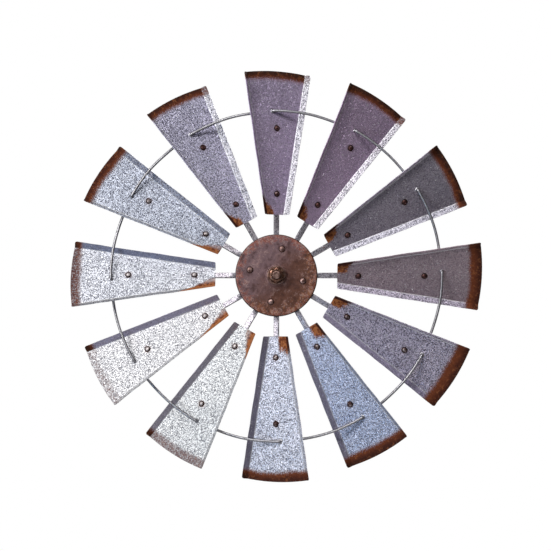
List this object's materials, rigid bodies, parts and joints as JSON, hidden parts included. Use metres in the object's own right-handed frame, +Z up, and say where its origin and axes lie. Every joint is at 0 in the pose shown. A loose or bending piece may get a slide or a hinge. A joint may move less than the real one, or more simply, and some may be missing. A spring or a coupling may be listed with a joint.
{
  "type": "garden windmill",
  "caption": "Round pinwheel of pitched sheet-metal blades on flat-bar spokes with an outer rod ring, free to spin on a stud fixed to a round wall plate.",
  "frame": {"origin": "centre of the wall plate's back face, on the wheel's axis", "axes": "+Z up, -Y to the front, away from the wall and along the wheel's axis, +X to the viewer's right"},
  "size_m": [0.61, 0.0615, 0.61],
  "materials": {
    "galvanised_sheet": "matt, weathered galvanised, with brown rust at the tips and roots",
    "galvanised_bar": "matt galvanised",
    "zinc_rod": "satin zinc-plated",
    "rusty_steel": "matt brown rust",
    "weathered_hub_steel": "matt brown and purple patina",
    "dark_turned_steel": "satin, oiled",
    "bush_bronze": "satin, oil-soaked"
  },
  "bodies": {
    "wall_bracket": {"wall_plate": "galvanised_bar", "axle_stud": "dark_turned_steel", "spacer_tube": "galvanised_bar", "rear_washer": "zinc_rod", "front_washer": "rusty_steel", "axle_nut": "rusty_steel"},
    "wheel": {"blade_01": "galvanised_sheet", "blade_02": "galvanised_sheet", "blade_03": "galvanised_sheet", "blade_04": "galvanised_sheet", "blade_05": "galvanised_sheet", "blade_06": "galvanised_sheet", "blade_07": "galvanised_sheet", "blade_08": "galvanised_sheet", "blade_09": "galvanised_sheet", "blade_10": "galvanised_sheet", "blade_11": "galvanised_sheet", "blade_12": "galvanised_sheet", "spoke_01": "galvanised_bar", "spoke_02": "galvanised_bar", "spoke_03": "galvanised_bar", "spoke_04": "galvanised_bar", "spoke_05": "galvanised_bar", "spoke_06": "galvanised_bar", "spoke_07": "galvanised_bar", "spoke_08": "galvanised_bar", "spoke_09": "galvanised_bar", "spoke_10": "galvanised_bar", "spoke_11": "galvanised_bar", "spoke_12": "galvanised_bar", "ring_rod_01": "zinc_rod", "ring_rod_02": "zinc_rod", "ring_rod_03": "zinc_rod", "ring_rod_04": "zinc_rod", "ring_rod_05": "zinc_rod", "ring_rod_06": "zinc_rod", "ring_rod_07": "zinc_rod", "ring_rod_08": "zinc_rod", "ring_rod_09": "zinc_rod", "ring_rod_10": "zinc_rod", "ring_rod_11": "zinc_rod", "ring_rod_12": "zinc_rod", "outer_blade_rivets": "rusty_steel", "inner_blade_rivets": "rusty_steel", "front_hub_disc": "weathered_hub_steel", "rear_hub_disc": "weathered_hub_steel", "hub_rivets": "rusty_steel", "hub_collar": "weathered_hub_steel", "hub_sleeve": "dark_turned_steel", "front_bush": "bush_bronze", "rear_bush": "bush_bronze"}
  },
  "joints": [
    {"name": "wheel_spin", "type": "hinge", "parent": "wall_bracket", "child": "wheel", "pos_m": [0, -0.032, 0], "axis": [0, -1, 0], "continuous": true}
  ]
}
